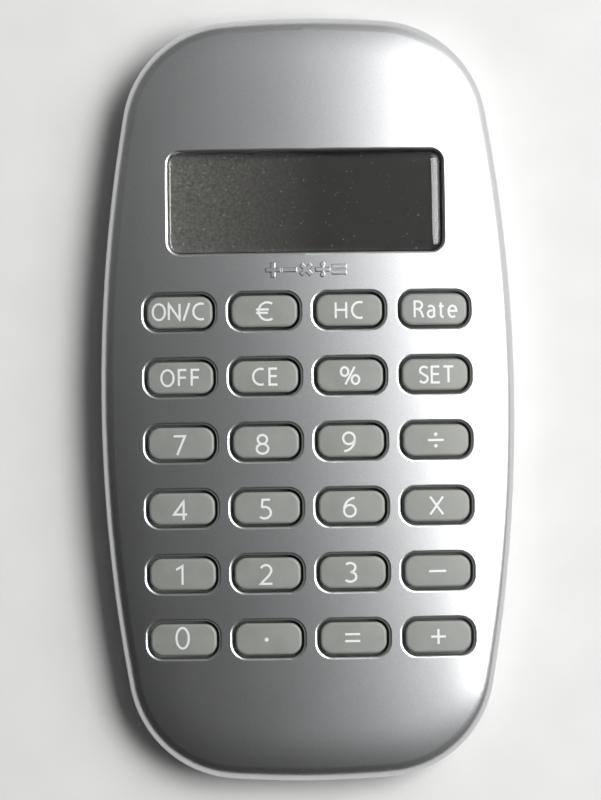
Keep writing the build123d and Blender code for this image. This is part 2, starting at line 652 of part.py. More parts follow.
def make_key(x, y):
    """Key cap: a gently domed stem in its opening, and a flange that stops under the collar."""
    width = OPENING_WIDTH - 2 * KEY_GAP
    depth = OPENING_DEPTH - 2 * KEY_GAP
    stem = slab(rounded(width, depth, KEY_CORNER, x, y), FLANGE_BOTTOM + 0.1, HIGH)
    normal = crown_normal(x, y)
    apex = Vector(x, y, crown_height(x, y) + KEY_PROUD)
    ball_centre = apex - normal * KEY_DOME_RADIUS
    stem = stem & Pos(*ball_centre) * Sphere(KEY_DOME_RADIUS)
    stem = fillet(upper_rim(stem), KEY_EDGE)
    flange = slab(rounded(OPENING_WIDTH + 2 * FLANGE_REACH, OPENING_DEPTH + 2 * FLANGE_REACH,
                          OPENING_CORNER, x, y), FLANGE_BOTTOM, FLANGE_BOTTOM + FLANGE_THICKNESS)
    key = stem + flange
    pocket = rounded(width - 1.8, depth - 1.4, 1.2, x, y) - Pos(x, y) * Circle(1.3)
    return key - slab(pocket, 0, FLANGE_BOTTOM + 1.9)


def upper_rim(stem):
    """Edges round the top of a key's stem."""
    middle = stem.center(CenterOf.BOUNDING_BOX).Z
    return [edge for edge in stem.edges() if (edge @ 0.5).Z > middle and abs((edge % 0.5).Z) < 0.5]


# ================================================================ screws and feet
def screw(x, y, seat, tip, shank_radius, head_radius, head_height):
    """Pan-head screw that points up, with a cross recess in its head."""
    head = post(x, y, head_radius, seat - head_height, seat)
    head = fillet(head.edges().group_by(Axis.Z)[0], head_height * 0.35)
    body = head + post(x, y, shank_radius, seat - 0.1, tip)
    arm = head_radius * 1.1
    thin = head_radius * 0.26
    depth = seat - head_height * 0.45
    body -= block(x - arm / 2, x + arm / 2, y - thin / 2, y + thin / 2, 0, depth)
    body -= block(x - thin / 2, x + thin / 2, y - arm / 2, y + arm / 2, 0, depth)
    return body


def make_case_screws():
    """The screws that hold the rear cover to the front cover."""
    return group([screw(x, y, CASE_SCREW_SEAT, CASE_SCREW_TIP, CASE_SCREW_RADIUS,
                        CASE_SCREW_HEAD_RADIUS, CASE_SCREW_HEAD_HEIGHT)
                  for x, y in CASE_SCREW_SPOTS])


def make_board_screws():
    """The screws that hold the board to the front cover."""
    return group([screw(x, y, BOARD_BOTTOM, BOARD_SCREW_TIP, BOARD_SCREW_RADIUS,
                        BOARD_SCREW_HEAD_RADIUS, BOARD_SCREW_HEAD_HEIGHT)
                  for x, y in BOARD_SCREW_SPOTS])


def make_foot(x, y):
    """Round rubber foot set in its recess."""
    foot = post(x, y, FOOT_RADIUS, 0, REAR_BOTTOM + FOOT_RECESS)
    return fillet(foot.edges().group_by(Axis.Z)[0], 0.2)


def make_parts():
    """Every piece by its name."""
    parts = {
        "front_cover": make_front_cover(),
        "rear_cover": make_rear_cover(),
        "display_window": make_display_window(),
        "window_adhesive": make_window_adhesive(),
        "display_gasket": make_display_gasket(),
        "lcd_holder": make_lcd_holder(),
        "zebra_connector": make_zebra_connector(),
        "display_contact_pads": make_display_contact_pads(),
        "circuit_board": make_circuit_board(),
        "key_contact_pads": make_key_contact_pads(),
        "processor_blob": make_processor_blob(),
        "chip_capacitors": make_chip_capacitors(),
        "keypad_membrane": make_keypad_membrane(),
        "contact_pills": make_contact_pills(),
        "battery_cell": make_battery_cell(),
        "battery_holder": make_battery_holder(),
        "battery_contact_negative": make_negative_contact(),
        "battery_contact_positive": make_positive_contact(),
        "battery_door": make_battery_door(),
        "case_screws": make_case_screws(),
        "board_screws": make_board_screws(),
    }
    parts.update(panel_layers())
    for name, (x, y) in FOOT_SPOTS.items():
        parts[name] = make_foot(x, y)
    for row, names in enumerate(KEY_NAMES):
        for column, name in enumerate(names):
            parts[name] = make_key(*key_spot(row, column))
    return parts


def main():
    """Write one file per piece."""
    os.makedirs("parts", exist_ok=True)
    for name, shape in make_parts().items():
        export_step(shape, f"parts/{name}.step")
        print(f"{name}: {len(shape.solids())} solid(s), {shape.volume:.1f} mm3")


main()
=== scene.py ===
import json
import math

import bmesh
import bpy
from mathutils import Matrix, Vector
from mathutils.bvhtree import BVHTree


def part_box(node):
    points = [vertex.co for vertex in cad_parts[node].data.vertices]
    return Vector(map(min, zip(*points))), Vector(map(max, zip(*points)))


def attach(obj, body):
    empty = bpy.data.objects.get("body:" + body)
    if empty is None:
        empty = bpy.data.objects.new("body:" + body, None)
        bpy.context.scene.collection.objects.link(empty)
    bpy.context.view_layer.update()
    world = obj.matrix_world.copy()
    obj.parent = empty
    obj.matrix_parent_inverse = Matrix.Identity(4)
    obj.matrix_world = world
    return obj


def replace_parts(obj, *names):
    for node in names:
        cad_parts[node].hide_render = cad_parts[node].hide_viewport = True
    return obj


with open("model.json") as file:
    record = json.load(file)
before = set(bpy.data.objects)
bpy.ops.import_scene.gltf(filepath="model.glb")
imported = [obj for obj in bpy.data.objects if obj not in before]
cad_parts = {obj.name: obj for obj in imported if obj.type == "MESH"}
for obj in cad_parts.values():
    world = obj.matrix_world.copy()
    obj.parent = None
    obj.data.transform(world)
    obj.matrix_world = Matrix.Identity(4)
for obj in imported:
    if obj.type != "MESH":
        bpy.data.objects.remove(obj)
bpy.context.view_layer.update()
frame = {"nodes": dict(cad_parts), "record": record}
NODES = frame["nodes"]
MM = 0.001

# ---------------------------------------------------------------- what the print on the keys measures
LEGEND_STROKE = 0.355 * MM
DIGIT_HEIGHT = 3.4 * MM
ZERO_HEIGHT = 3.7 * MM
WORD_HEIGHT = 2.95 * MM
SIGN_HEIGHT = 2.9 * MM
INK_RISE = 0.018 * MM
INK_DEPTH = 0.05 * MM

# ---------------------------------------------------------------- the case's crowned top and the window in it
CROWN_TOP = 10.6 * MM
CROWN_ACROSS = 267 * MM
CROWN_ALONG = 1100 * MM
HALF_WIDTH = 33.9 * MM
HALF_LENGTH = 62.5 * MM
SIDE_RADIUS = 268 * MM
END_RADIUS = 176 * MM
CORNER_RADIUS = 18.2 * MM
CORNER_CENTRE = Vector((11.820, 43.857)) * MM
CORNER_ANGLES = (10.11, 85.70)
SHOULDER_REACH = 10 * MM
SHOULDER_LEAN_X = 0.10
SHOULDER_LEAN_Y = 0.30
WINDOW_CENTRE = Vector((0, 32.1)) * MM
WINDOW_HALF_SIZE = Vector((22.2, 8.1)) * MM
WINDOW_CORNER = 1.8 * MM
WINDOW_ROLL = 1.8 * MM
WINDOW_ROLL_DEPTH = 0.5 * MM
WINDOW_SUNK = 0.2 * MM
WINDOW_FLANGE_REACH = 1.8 * MM
FLANGE_LOW = 6.25 * MM
FLANGE_HIGH = 6.85 * MM
FACE_INSETS = (3 * MM, 4.5 * MM, 6 * MM, 7.5 * MM, WINDOW_HALF_SIZE.y - 0.02 * MM)
CORNER_STEPS = 12           # spans in each rounded corner of the window
ROLL_STEP = 6               # degrees between the rings of the window's rolled edge
ON_CROWN = 0.003 * MM       # a vertex this near the crowned top lies on it

# ---------------------------------------------------------------- raised signs under the window
SIGN_Y = 20.9 * MM
SIGN_SIZE = 2.2 * MM
SIGN_STROKE = 0.5 * MM
SIGN_SPACING = 2.7 * MM
SIGN_RAISE = 0.25 * MM
SIGN_SLOPE = 0.16 * MM

# ---------------------------------------------------------------- floor, light and camera
FLOOR_HALF = 3.0
ROOM_ACROSS = (-0.10, 0.60, 0.05, 0.30)     # from and to along X, and the light's strength there
ROOM_ALONG = (-0.02, 0.25, 0.60, 3.4)       # the same along Y
LAMPS = {                                   # place, size and power
    "window_upper": ((0.40, 0.09, 0.62), (0.50, 0.34), 5.4),
    "window_lower": ((0.62, 0.20, 0.60), (0.95, 0.62), 4.6),
}
CAMERA_DISTANCE = 0.500
VIEW_HEIGHT = 0.13172       # what the picture's height spans at that distance
CAMERA_ELEVATION = 88.6     # degrees
CAMERA_TURN = 0.787         # degrees
OUTLINE_HEIGHT = 0.0048
AIM_RIGHT = 1.20 * MM
AIM_UP = 0.23 * MM


# ================================================================ node materials
def new_material(name):
    """An empty node material with its output; returns the material, its tree and the shader."""
    material = bpy.data.materials.new(name)
    material.use_nodes = True
    tree = material.node_tree
    tree.nodes.clear()
    output = tree.nodes.new("ShaderNodeOutputMaterial")
    shader = tree.nodes.new("ShaderNodeBsdfPrincipled")
    tree.links.new(shader.outputs["BSDF"], output.inputs["Surface"])
    return material, tree, shader


def noise(tree, scale, detail=2.0, roughness=0.5):
    """Noise in the object's own coordinates, so it stays put as the piece moves."""
    place = tree.nodes.new("ShaderNodeTexCoord")
    texture = tree.nodes.new("ShaderNodeTexNoise")
    texture.inputs["Scale"].default_value = scale
    texture.inputs["Detail"].default_value = detail
    texture.inputs["Roughness"].default_value = roughness
    tree.links.new(place.outputs["Object"], texture.inputs["Vector"])
    return texture.outputs["Fac"]


def ramp(tree, source, low, high, low_value, high_value):
    """A source between low and high, turned into a number between two values."""
    node = tree.nodes.new("ShaderNodeMapRange")
    node.inputs["From Min"].default_value = low
    node.inputs["From Max"].default_value = high
    node.inputs["To Min"].default_value = low_value
    node.inputs["To Max"].default_value = high_value
    tree.links.new(source, node.inputs["Value"])
    return node.outputs["Result"]


def blend_colours(tree, source, low, high, colour_low, colour_high):
    """A source between low and high, turned into a colour between two colours."""
    node = tree.nodes.new("ShaderNodeValToRGB")
    node.color_ramp.elements[0].position = low
    node.color_ramp.elements[0].color = (*colour_low, 1)
    node.color_ramp.elements[1].position = high
    node.color_ramp.elements[1].color = (*colour_high, 1)
    tree.links.new(source, node.inputs["Fac"])
    return node.outputs["Color"]


def add_bump(tree, shader, source, strength, distance):
    """Surface relief from a source."""
    node = tree.nodes.new("ShaderNodeBump")
    node.inputs["Strength"].default_value = strength
    node.inputs["Distance"].default_value = distance
    tree.links.new(source, node.inputs["Height"])
    tree.links.new(node.outputs["Normal"], shader.inputs["Normal"])


def finish_material(name, colours, grain, roughness, bump=(0.2, 0.02 * MM), metallic=0.0, **sockets):
    """A material whose colour, roughness and relief all vary with one noise of the given grain."""
    material, tree, shader = new_material(name)
    source = noise(tree, grain)
    tree.links.new(blend_colours(tree, source, 0.3, 0.7, *colours), shader.inputs["Base Color"])
    tree.links.new(ramp(tree, source, 0.3, 0.7, *roughness), shader.inputs["Roughness"])
    add_bump(tree, shader, source, *bump)
    shader.inputs["Metallic"].default_value = metallic
    for socket, value in sockets.items():
        shader.inputs[socket.replace("_", " ")].default_value = value
    return material


def silver_paint():
    """Satin silver paint: metal flakes under a soft lacquer, with a very fine grain and slight mottling."""
    material, tree, shader = new_material("silver_paint")
    flake = noise(tree, 9000, 1.0)
    mottle = noise(tree, 60, 2.0)
    tree.links.new(blend_colours(tree, flake, 0.35, 0.65, (0.60, 0.61, 0.62), (0.72, 0.73, 0.74)),
                   shader.inputs["Base Color"])
    tree.links.new(ramp(tree, mottle, 0.3, 0.7, 0.29, 0.30), shader.inputs["Roughness"])
    add_bump(tree, shader, flake, 0.10, 0.01 * MM)
    shader.inputs["Metallic"].default_value = 1.0
    return material


def key_plastic():
    """Matt grey-green moulded plastic with fine spark erosion and a faint wipe of wear."""
    material, tree, shader = new_material("key_plastic")
    grain = noise(tree, 5200, 2.0)
    cloud = noise(tree, 300, 3.0)
    tree.links.new(blend_colours(tree, cloud, 0.3, 0.7, (0.198, 0.209, 0.190), (0.224, 0.234, 0.213)),
                   shader.inputs["Base Color"])
    tree.links.new(ramp(tree, cloud, 0.3, 0.7, 0.40, 0.50), shader.inputs["Roughness"])
    add_bump(tree, shader, grain, 0.18, 0.012 * MM)
    return material


def legend_ink():
    """White pad-printed ink, a little uneven."""
    return finish_material("legend_ink", ((0.60, 0.61, 0.60), (0.66, 0.67, 0.66)), 2600, (0.5, 0.62),
                           (0.15, 0.006 * MM))


def clear_window():
    """Clear acrylic panel, very slightly smoked, with faint haze from handling."""
    material, tree, shader = new_material("clear_window")
    haze = noise(tree, 420, 4.0)
    tree.links.new(ramp(tree, haze, 0.35, 0.75, 0.004, 0.02), shader.inputs["Roughness"])
    tree.links.new(blend_colours(tree, haze, 0.3, 0.7, (0.90, 0.90, 0.89), (0.94, 0.94, 0.93)),
                   shader.inputs["Base Color"])
    shader.inputs["Transmission Weight"].default_value = 1.0
    shader.inputs["IOR"].default_value = 1.49
    return material


def dark_polariser():
    """Dark display film with a fine sparkle grain and a few dust specks; its colour is painted lighter on the
    left and darker to the right, as painted light.
    """
    material, tree, shader = new_material("dark_polariser")
    place = tree.nodes.new("ShaderNodeTexCoord")
    split = tree.nodes.new("ShaderNodeSeparateXYZ")
    tree.links.new(place.outputs["Object"], split.inputs["Vector"])
    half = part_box("display_window")[1].x
    across = ramp(tree, split.outputs["X"], -half, half, 0.0, 1.0)
    # Painted light: the film's colour runs from a lighter grey on the left to near black on the right,
    # standing in for the fall of light across the display.
    painted_light_gradient = blend_colours(tree, across, 0.0, 0.55, (0.215, 0.208, 0.190), (0.018, 0.017, 0.014))
    grain = noise(tree, 2600, 1.0, 0.6)
    speckle = blend_colours(tree, grain, 0.34, 0.66, (0.45, 0.45, 0.45), (1.0, 1.0, 1.0))
    dust = noise(tree, 2600, 0.0)
    specks = blend_colours(tree, dust, 0.80, 0.82, (0.0, 0.0, 0.0), (0.16, 0.16, 0.14))
    grainy = tree.nodes.new("ShaderNodeMix")
    grainy.data_type = "RGBA"
    grainy.blend_type = "MULTIPLY"
    grainy.inputs["Factor"].default_value = 0.9
    tree.links.new(painted_light_gradient, grainy.inputs["A"])
    tree.links.new(speckle, grainy.inputs["B"])
    dusty = tree.nodes.new("ShaderNodeMix")
    dusty.data_type = "RGBA"
    dusty.blend_type = "ADD"
    dusty.inputs["Factor"].default_value = 1.0
    tree.links.new(grainy.outputs["Result"], dusty.inputs["A"])
    tree.links.new(specks, dusty.inputs["B"])
    tree.links.new(dusty.outputs["Result"], shader.inputs["Base Color"])
    tree.links.new(ramp(tree, grain, 0.3, 0.7, 0.45, 0.65), shader.inputs["Roughness"])
    add_bump(tree, shader, grain, 0.25, 0.01 * MM)
    return material


def display_glass():
    """Thin clear glass."""
    return finish_material("display_glass", ((0.80, 0.86, 0.84), (0.86, 0.90, 0.88)), 300, (0.02, 0.05),
                           (0.02, 0.002 * MM), Transmission_Weight=1.0, IOR=1.52)


METAL = {"metallic": 1.0}
SLOT_MATERIALS = {
    "case_silver": silver_paint(),
    "key_grey": key_plastic(),
    "legend_ink": legend_ink(),
    "window_clear": clear_window(),
    "polariser_dark": dark_polariser(),
    "display_glass": display_glass(),
    "adhesive_black": finish_material("adhesive_black", ((0.012, 0.012, 0.012), (0.03, 0.03, 0.03)), 900,
                                      (0.6, 0.8)),
    "foam_black": finish_material("foam_black", ((0.01, 0.01, 0.01), (0.05, 0.05, 0.05)), 4200, (0.8, 0.95),
                                  (0.8, 0.05 * MM)),
    "reflector_grey": finish_material("reflector_grey", ((0.36, 0.38, 0.35), (0.44, 0.45, 0.42)), 3000,
                                      (0.3, 0.45)),
    "plastic_white": finish_material("plastic_white", ((0.70, 0.70, 0.66), (0.76, 0.76, 0.73)), 1400,
                                     (0.4, 0.55)),
    "rubber_pink": finish_material("rubber_pink", ((0.58, 0.36, 0.36), (0.66, 0.45, 0.44)), 1500, (0.6, 0.8)),
    "contact_gold": finish_material("contact_gold", ((0.78, 0.58, 0.24), (0.88, 0.70, 0.36)), 1200,
                                    (0.2, 0.35), **METAL),
    "board_green": finish_material("board_green", ((0.02, 0.13, 0.05), (0.03, 0.20, 0.08)), 260, (0.3, 0.42)),
    "epoxy_black": finish_material("epoxy_black", ((0.010, 0.010, 0.010), (0.022, 0.022, 0.022)), 500,
                                   (0.12, 0.25)),
    "ceramic_tan": finish_material("ceramic_tan", ((0.42, 0.30, 0.18), (0.55, 0.42, 0.28)), 2200, (0.5, 0.7)),
    "rubber_grey": finish_material("rubber_grey", ((0.36, 0.37, 0.36), (0.44, 0.45, 0.44)), 900, (0.6, 0.8)),
    "rubber_black": finish_material("rubber_black", ((0.018, 0.018, 0.018), (0.04, 0.04, 0.04)), 3600,
                                    (0.7, 0.9), (0.5, 0.03 * MM)),
    "cell_steel": finish_material("cell_steel", ((0.62, 0.62, 0.61), (0.74, 0.74, 0.72)), 2400, (0.22, 0.36),
                                  **METAL),
    "contact_steel": finish_material("contact_steel", ((0.60, 0.60, 0.58), (0.72, 0.72, 0.70)), 1700,
                                     (0.22, 0.34), **METAL),
    "screw_steel": finish_material("screw_steel", ((0.40, 0.40, 0.41), (0.55, 0.55, 0.56)), 3200, (0.3, 0.45),
                                   **METAL),
}


def dress_cad_nodes():
    """Gives every CAD node the node material of its slot."""
    for part in frame["record"]["subparts"]:
        node = NODES[part["node"]]
        node.data.materials.clear()
        node.data.materials.append(SLOT_MATERIALS[part["material_slot"]])


# ================================================================ smooth cover and window
def crown_height(x, y):
    """Height of the cover's crowned top over a point in plan."""
    arm = CROWN_ALONG - CROWN_ACROSS + math.sqrt(CROWN_ACROSS**2 - x**2)
    return CROWN_TOP - CROWN_ALONG + math.sqrt(arm**2 - y**2)


def crown_normal(x, y):
    """Outward direction of the crowned top over a point in plan."""
    step = 0.01 * MM
    slope_x = (crown_height(x + step, y) - crown_height(x - step, y)) / (2 * step)
    slope_y = (crown_height(x, y + step) - crown_height(x, y - step)) / (2 * step)
    return Vector((-slope_x, -slope_y, 1)).normalized()


def cover_normal(spot):
    """The cover's true normal where a spot lies on its crowned top, else None."""
    if abs(spot.z - crown_height(spot.x, spot.y)) < ON_CROWN:
        return crown_normal(spot.x, spot.y)
    return None


def outline_depth(x, y):
    """How far a point in plan lies inside the case's outline, and the outward direction there."""
    spot = Vector((abs(x), abs(y)))
    corner = spot - CORNER_CENTRE
    side = spot - Vector((HALF_WIDTH - SIDE_RADIUS, 0))
    end = spot - Vector((0, HALF_LENGTH - END_RADIUS))
    angle = math.degrees(math.atan2(corner.y, corner.x))
    if CORNER_ANGLES[0] < angle < CORNER_ANGLES[1]:
        depth, out = CORNER_RADIUS - corner.length, corner
    elif SIDE_RADIUS - side.length < END_RADIUS - end.length:
        depth, out = SIDE_RADIUS - side.length, side
    else:
        depth, out = END_RADIUS - end.length, end
    out = out.normalized()
    return depth, Vector((math.copysign(out.x, x), math.copysign(out.y, y), 0))


def softened(normal, spot):
    """A normal of the cover, leaned outwards near the outline, where the crown falls away more quickly."""
    depth, out = outline_depth(spot.x, spot.y)
    near = max(0.0, 1 - depth / SHOULDER_REACH)
    lean = Vector((out.x * SHOULDER_LEAN_X, out.y * SHOULDER_LEAN_Y, 0))
    return (normal + lean * (near**2 * max(0.0, normal.z))).normalized()


def show_piece(name, mesh, material_slot):
    """Puts a mesh in the scene as a piece of the case, with the finish of a slot."""
    mesh.materials.clear()
    mesh.materials.append(SLOT_MATERIALS[material_slot])
    piece = bpy.data.objects.new(name, mesh)
    bpy.context.scene.collection.objects.link(piece)
    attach(piece, "case")
    return piece


def make_cover_shell():
    """The front cover, shaded with the true normals of its crowned top and a soft shoulder round it."""
    mesh = NODES["front_cover"].data.copy()
    normals = [corner.vector.copy() for corner in mesh.corner_normals]
    for face in mesh.polygons:
        found = [cover_normal(mesh.vertices[v].co) for v in face.vertices]
        for i, v, normal in zip(face.loop_indices, face.vertices, found):
            normals[i] = softened(normal if all(found) else normals[i], mesh.vertices[v].co)
    mesh.normals_split_custom_set(normals)
    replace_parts(show_piece("cover_shell", mesh, "case_silver"), "front_cover")


def window_outline(inset):
    """Points round the window, moved in by inset, with the outward direction at each."""
    half = WINDOW_HALF_SIZE - Vector((inset, inset))
    corner = max(WINDOW_CORNER - inset, 0.002 * MM)
    points = []
    for sx, sy, start in ((1, 1, 0), (-1, 1, 90), (-1, -1, 180), (1, -1, 270)):
        centre = WINDOW_CENTRE + Vector((sx * (half.x - corner), sy * (half.y - corner)))
        for step in range(CORNER_STEPS + 1):
            angle = math.radians(start + 90 * step / CORNER_STEPS)
            out = Vector((math.cos(angle), math.sin(angle)))
            points.append((centre + out * corner, out))
    return points


def make_window_lens():
    """The display window: a flange, and a crowned face that rolls over into its sides."""
    rings = []
    for inset, z in ((-WINDOW_FLANGE_REACH, FLANGE_LOW), (-WINDOW_FLANGE_REACH, FLANGE_HIGH),
                     (0, FLANGE_HIGH)):
        rings.append([(Vector((p.x, p.y, z)), Vector((out.x, out.y, 0)))
                      for p, out in window_outline(inset)])
    for lean in [math.radians(degrees) for degrees in range(90, -1, -ROLL_STEP)]:
        ring = []
        for p, out in window_outline(WINDOW_ROLL * (1 - math.sin(lean))):
            z = crown_height(p.x, p.y) - WINDOW_SUNK - WINDOW_ROLL_DEPTH * (1 - math.cos(lean))
            side = Vector((out.x, out.y, 0)) * (WINDOW_ROLL_DEPTH * math.sin(lean))
            face = crown_normal(p.x, p.y) * (WINDOW_ROLL * math.cos(lean))
            ring.append((Vector((p.x, p.y, z)), side + face))
        rings.append(ring)
    for inset in FACE_INSETS:
        rings.append([(Vector((p.x, p.y, crown_height(p.x, p.y) - WINDOW_SUNK)), crown_normal(p.x, p.y))
                      for p, out in window_outline(inset)])
    count = len(rings[0])
    spots = [spot for ring in rings for spot, normal in ring]
    facing = [normal.normalized() for ring in rings for spot, normal in ring]
    faces = [tuple(reversed(range(count))), tuple(range(len(spots) - count, len(spots)))]
    for r in range(len(rings) - 1):
        for i in range(count):
            n = (i + 1) % count
            faces.append((r * count + i, r * count + n, (r + 1) * count + n, (r + 1) * count + i))
    mesh = bpy.data.meshes.new("window_lens")
    mesh.from_pydata(spots, [], faces)
    mesh.polygons.foreach_set("use_smooth", [True] * len(faces))
    normals = []
    for face in mesh.polygons:
        flat = all(v < 3 * count for v in face.vertices)
        normals += [face.normal.copy() if flat else facing[v] for v in face.vertices]
    mesh.normals_split_custom_set(normals)
    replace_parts(show_piece("window_lens", mesh, "window_clear"), "display_window")


def bar_outline(width, height, turn, x, y):
    """Corners of a bar turned about its middle."""
    c = math.cos(math.radians(turn))
    s = math.sin(math.radians(turn))
    corners = [(sx * width / 2, sy * height / 2) for sx, sy in ((-1, -1), (1, -1), (1, 1), (-1, 1))]
    return [(x + c * px - s * py, y + s * px + c * py) for px, py in corners]


def make_sign_bevels():
    """Sloping sides round the five raised signs, so that they rise softly out of the cover."""
    bars = [(-2, 0, 0), (-2, 0, 90), (-1, 0, 0), (0, 0, 45), (0, 0, 135), (1, 0, 0),
            (2, 0.22 * SIGN_SIZE, 0), (2, -0.22 * SIGN_SIZE, 0)]
    dots = [(1, 0.38 * SIGN_SIZE), (1, -0.38 * SIGN_SIZE)]
    mesh = bmesh.new()
    outlines = []
    for place, up, turn in bars:
        x = place * SIGN_SPACING
        y = SIGN_Y + up
        outlines.append([bar_outline(SIGN_SIZE + 2 * grow, SIGN_STROKE + 2 * grow, turn, x, y)
                         for grow in (SIGN_SLOPE, 0)])
    for place, up in dots:
        outlines.append([arc(place * SIGN_SPACING, SIGN_Y + up, radius, radius, 0, 342, 19)
                         for radius in (0.6 * SIGN_STROKE + SIGN_SLOPE, 0.6 * SIGN_STROKE)])
    for level, (wide, narrow) in enumerate(outlines):
        rise = SIGN_RAISE + (1 + level) * 0.001 * MM
        low = [mesh.verts.new((x, y, crown_height(x, y) - 0.02 * MM)) for x, y in wide]
        top = [mesh.verts.new((x, y, crown_height(x, y) + rise)) for x, y in narrow]
        mesh.faces.new(top)
        mesh.faces.new(list(reversed(low)))
        for i in range(len(low)):
            n = (i + 1) % len(low)
            mesh.faces.new((low[i], low[n], top[n], top[i]))
    bmesh.ops.recalc_face_normals(mesh, faces=mesh.faces)
    data = bpy.data.meshes.new("sign_bevels")
    mesh.to_mesh(data)
    mesh.free()
    show_piece("sign_bevels", data, "case_silver")


# ================================================================ legends
def arc(x, y, rx, ry, start, stop, steps=14):
    """Points along an elliptical arc, in degrees from +x, anticlockwise."""
    angles = [math.radians(start + (stop - start) * i / steps) for i in range(steps + 1)]
    return [(x + rx * math.cos(a), y + ry * math.sin(a)) for a in angles]


# Each sign: its width as a share of its height, and its strokes as lines of points, height 0 to 1.
GLYPHS = {
    "0": (0.60, [arc(0.30, 0.5, 0.30, 0.5, 90, 450, 32)]),
    "1": (0.34, [[(0.0, 0.80), (0.34, 1.0), (0.34, 0.0)]]),
    "2": (0.62, [arc(0.28, 0.72, 0.29, 0.28, 155, -18, 12) + [(0.44, 0.44), (0.0, 0.0), (0.62, 0.0)]]),
    "3": (0.58, [arc(0.25, 0.76, 0.28, 0.24, 140, -90, 14) + arc(0.25, 0.26, 0.32, 0.26, 90, -142, 16)]),
    "4": (0.70, [[(0.52, 0.0), (0.52, 1.0), (0.0, 0.30), (0.70, 0.30)]]),
    "5": (0.56, [[(0.52, 1.0), (0.12, 1.0), (0.07, 0.55)] + arc(0.22, 0.31, 0.34, 0.31, 115, -135, 18)]),
    "6": (0.62, [arc(0.62, 0.36, 0.62, 0.64, 95, 178, 10) + arc(0.31, 0.31, 0.31, 0.31, 170, 530, 26)]),
    "7": (0.60, [[(0.0, 1.0), (0.60, 1.0), (0.18, 0.0)]]),
    "8": (0.62, [arc(0.31, 0.76, 0.25, 0.24, -90, 270, 24), arc(0.31, 0.26, 0.31, 0.26, 90, 450, 28)]),
    "9": (0.62, [arc(0.0, 0.64, 0.62, 0.64, -85, -2, 10) + arc(0.31, 0.69, 0.31, 0.31, -10, 350, 26)]),
    "O": (0.775, [arc(0.3875, 0.5, 0.3875, 0.5, 90, 450, 32)]),
    "N": (0.68, [[(0.0, 0.0), (0.0, 1.0), (0.68, 0.0), (0.68, 1.0)]]),
    "/": (0.38, [[(0.0, -0.06), (0.38, 1.04)]]),
    "C": (0.66, [arc(0.48, 0.5, 0.48, 0.5, 68, 292, 24)]),
    "F": (0.48, [[(0.48, 1.0), (0.0, 1.0), (0.0, 0.0)], [(0.0, 0.52), (0.44, 0.52)]]),
    "E": (0.48, [[(0.48, 1.0), (0.0, 1.0), (0.0, 0.0), (0.50, 0.0)], [(0.0, 0.53), (0.45, 0.53)]]),
    "H": (0.66, [[(0.0, 0.0), (0.0, 1.0)], [(0.66, 0.0), (0.66, 1.0)], [(0.0, 0.52), (0.66, 0.52)]]),
    "R": (0.54, [[(0.0, 0.0), (0.0, 1.0), (0.22, 1.0)] + arc(0.22, 0.76, 0.25, 0.24, 90, -90, 12)
                 + [(0.0, 0.52)], [(0.24, 0.52), (0.40, 0.36), (0.54, 0.0)]]),
    "S": (0.50, [arc(0.28, 0.755, 0.26, 0.245, 35, 205, 12) + [(0.12, 0.60), (0.40, 0.42)]
                 + arc(0.24, 0.25, 0.26, 0.25, 30, -150, 12)]),
    "T": (0.62, [[(0.0, 1.0), (0.62, 1.0)], [(0.31, 1.0), (0.31, 0.0)]]),
    "a": (0.42, [arc(0.20, 0.50, 0.20, 0.21, 140, 0, 10) + [(0.40, 0.0)],
                 arc(0.20, 0.21, 0.20, 0.21, 60, 330, 16) + [(0.40, 0.18)]]),
    "t": (0.32, [[(0.12, 0.92), (0.12, 0.20)] + arc(0.28, 0.18, 0.16, 0.18, 180, 275, 8),
                 [(0.0, 0.69), (0.30, 0.69)]]),
    "e": (0.50, [[(0.02, 0.38), (0.48, 0.38)] + arc(0.25, 0.355, 0.25, 0.355, 5, 310, 22)]),
    "%": (1.08, [arc(0.22, 0.74, 0.22, 0.26, 90, 450, 20), arc(0.86, 0.26, 0.22, 0.26, 90, 450, 20),
                 [(0.26, -0.02), (0.82, 1.02)]]),
    "€": (0.92, [arc(0.64, 0.5, 0.50, 0.5, 57, 303, 22), [(0.0, 0.60), (0.72, 0.60)],
                 [(0.0, 0.41), (0.67, 0.41)]]),
    "÷": (1.02, [[(0.0, 0.5), (1.02, 0.5)]]),
    "X": (0.73, [[(0.0, 0.0), (0.73, 1.0)], [(0.0, 1.0), (0.73, 0.0)]]),
    "-": (1.09, [[(0.0, 0.5), (1.09, 0.5)]]),
    "+": (0.94, [[(0.0, 0.5), (0.94, 0.5)], [(0.47, 0.02), (0.47, 0.98)]]),
    "=": (0.96, [[(0.0, 0.72), (0.96, 0.72)], [(0.0, 0.28), (0.96, 0.28)]]),
    "·": (0.0, []),
}
# Round dots: place as shares of the height, and radius in metres.
DOTS = {
    "÷": [(0.51, 0.87, 0.29 * MM), (0.51, 0.13, 0.29 * MM)],
    "·": [(0.0, 0.42, 0.34 * MM)],
}
LETTER_GAP = {"ON/C": 0.093, "Rate": 0.13, "SET": 0.11, "OFF": 0.17}
